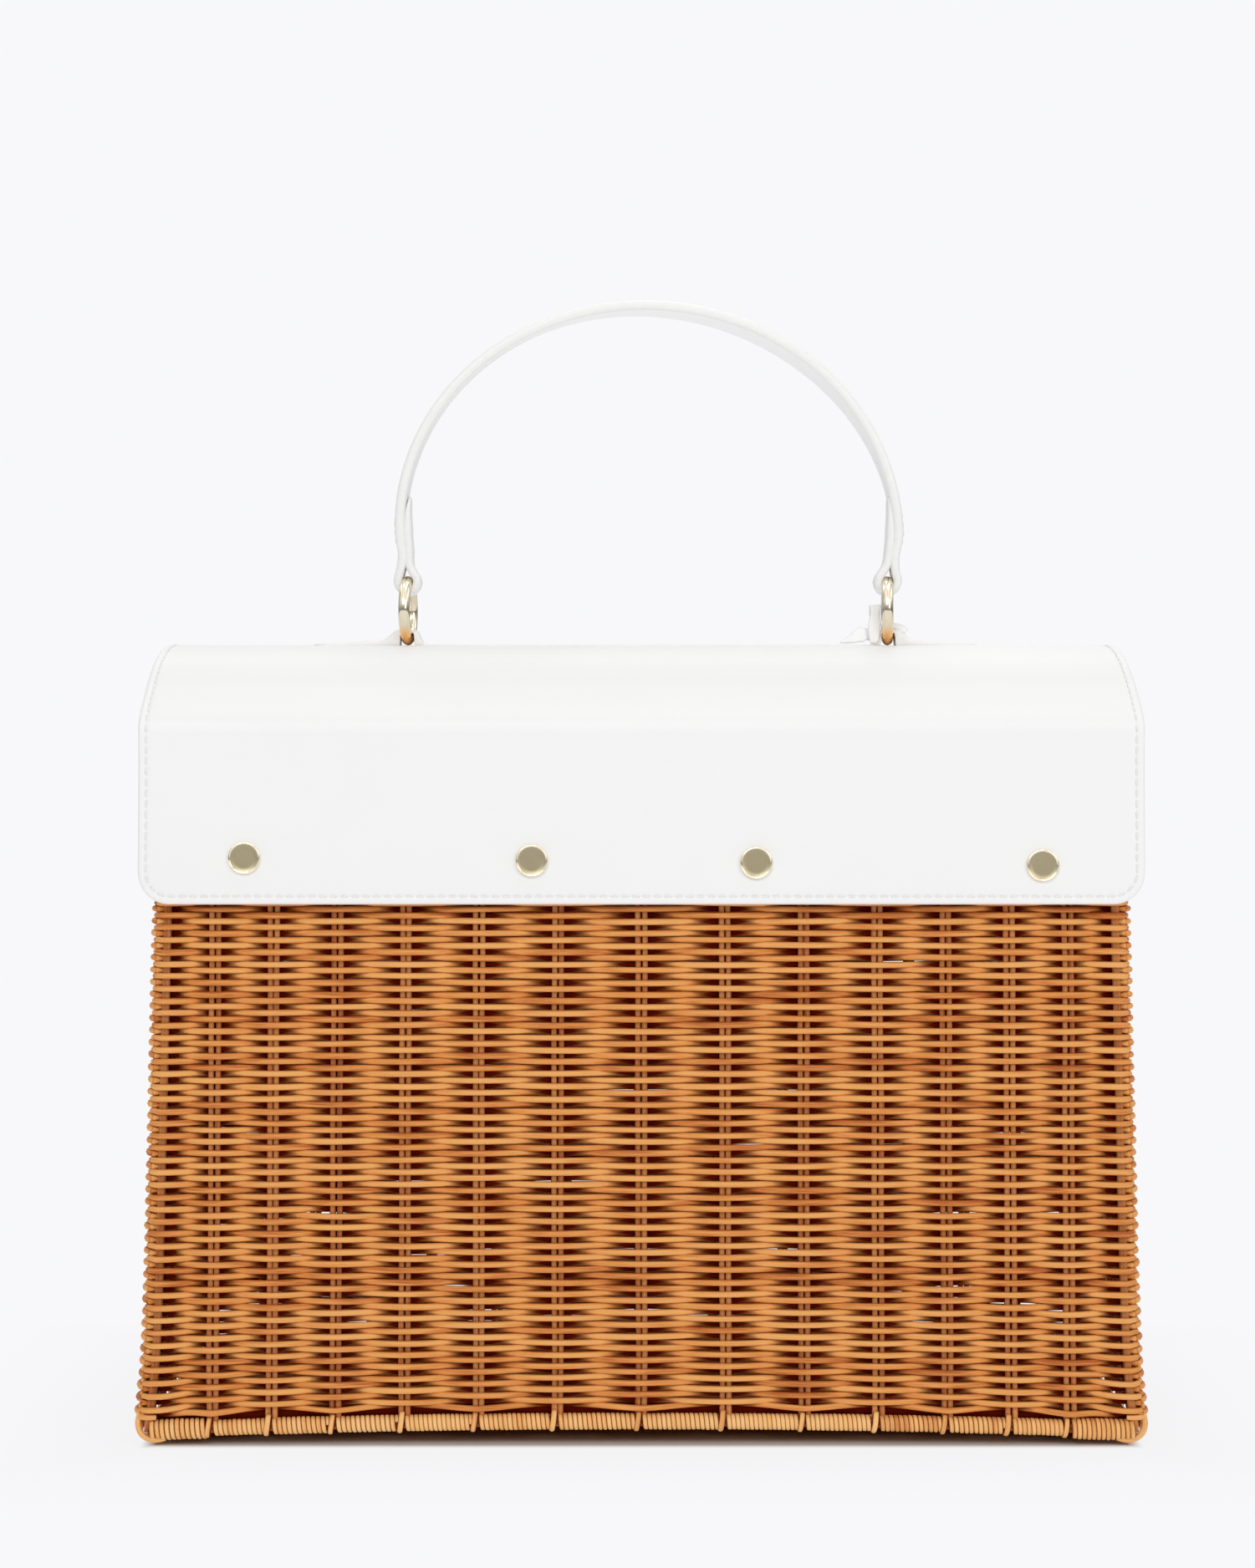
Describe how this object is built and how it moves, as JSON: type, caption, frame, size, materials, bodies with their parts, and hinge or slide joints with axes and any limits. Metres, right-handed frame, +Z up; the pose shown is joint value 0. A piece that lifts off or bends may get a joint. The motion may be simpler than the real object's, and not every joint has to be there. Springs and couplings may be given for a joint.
{
  "type": "wicker handbag",
  "caption": "Upright woven cane handbag with a domed leather cover that folds over the front, two metal rings on a ridge strap and an arched top handle.",
  "frame": {"origin": "on the floor under the middle of the basket's footprint", "axes": "+Z up, -Y towards the front with the closure studs, +X to the right seen from the front"},
  "size_m": [0.34, 0.1522, 0.3982],
  "materials": {
    "cane": "natural round cane, satin",
    "cane_frame": "natural thick cane, satin",
    "white_leather": "smooth white leather, satin",
    "lining": "plain woven lining",
    "stiffener_board": "thin bag board",
    "gold_metal": "polished",
    "stud_metal": "satin disc with a bright rim",
    "steel": "satin"
  },
  "bodies": {
    "basket": {"weave_front": "cane", "weave_back": "cane", "weave_left": "cane", "weave_right": "cane", "stakes_front": "cane", "stakes_back": "cane", "stakes_left": "cane", "stakes_right": "cane", "corner_posts": "cane_frame", "base_frame": "cane_frame", "base_wraps": "cane", "base_corner_bindings": "cane", "stake_ties": "cane", "base_panel": "cane", "rim_frame": "cane_frame", "rim_wraps": "cane", "cover_back_leather": "white_leather", "cover_back_lining": "lining", "back_rivets": "stud_metal", "back_washers": "steel", "closure_keepers": "steel", "keeper_washers": "steel"},
    "cover_top": {"cover_top_leather": "white_leather", "cover_top_stiffener": "stiffener_board", "cover_top_lining": "lining", "ridge_strap": "white_leather", "tag_lace": "white_leather"},
    "cover_front": {"cover_front_leather": "white_leather", "cover_front_lining": "lining", "closure_caps": "stud_metal", "closure_magnets": "steel"},
    "ring_left_body": {"ring_left": "gold_metal"},
    "ring_right_body": {"ring_right": "gold_metal"},
    "handle": {"handle_strap": "white_leather"}
  },
  "joints": [
    {"name": "lid_hinge", "type": "hinge", "parent": "basket", "child": "cover_top", "pos_m": [0, 0.07049, 0.2403], "axis": [-1, 0, 0], "range_deg": [0, 110]},
    {"name": "front_fold", "type": "hinge", "parent": "cover_top", "child": "cover_front", "pos_m": [0, -0.07049, 0.2403], "axis": [-1, 0, 0], "range_deg": [0, 90]},
    {"name": "handle_swing", "type": "hinge", "parent": "cover_top", "child": "handle", "pos_m": [0.0026, 0, 0.28565], "axis": [1, 0, 0], "range_deg": [-85, 85]},
    {"name": "ring_left_turn", "type": "hinge", "parent": "cover_top", "child": "ring_left_body", "pos_m": [-0.084, 0, 0.28565], "axis": [0.9976, -0.0698, 0], "continuous": true},
    {"name": "ring_right_turn", "type": "hinge", "parent": "cover_top", "child": "ring_right_body", "pos_m": [0.0892, 0, 0.28565], "axis": [0.9976, -0.0698, 0], "continuous": true}
  ]
}
